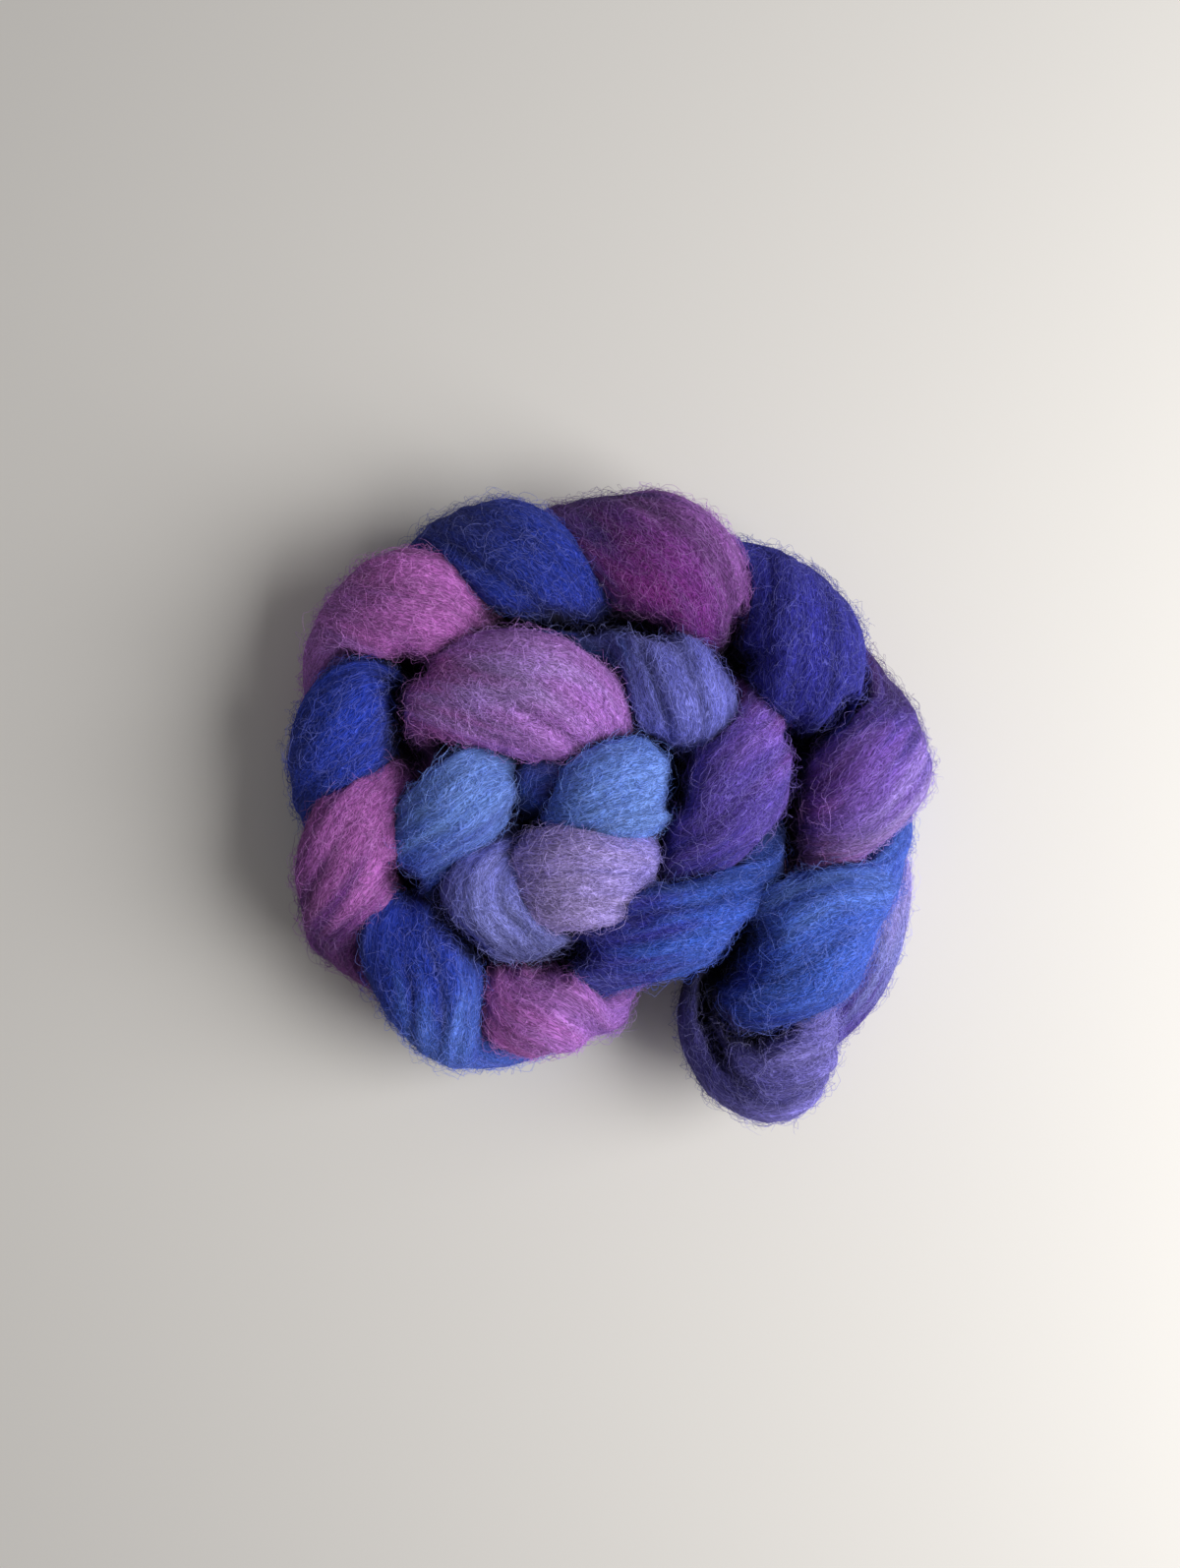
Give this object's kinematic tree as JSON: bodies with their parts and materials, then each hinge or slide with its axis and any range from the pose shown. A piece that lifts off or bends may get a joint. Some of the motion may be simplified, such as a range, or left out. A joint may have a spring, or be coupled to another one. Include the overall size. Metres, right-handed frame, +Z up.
{
  "type": "braid of wool roving",
  "caption": "Length of dyed combed wool top, doubled and laid round itself as a thick soft rope, then coiled flat; spinning and felting fibre.",
  "frame": {"origin": "middle of the bounding box in plan, at the underside that rests on the table", "axes": "+Z up, out of the top of the coil; +Y towards the far side of the coil and +X to the right as seen from above, with the outer end of the braid at low Y"},
  "size_m": [0.2075, 0.2041, 0.0554],
  "materials": {
    "dyed_wool": "matt, hairy, in blue, indigo, violet, lavender, mauve, orchid pink and plum"
  },
  "bodies": {
    "root": {"wool_braid": "dyed_wool"}
  },
  "joints": []
}
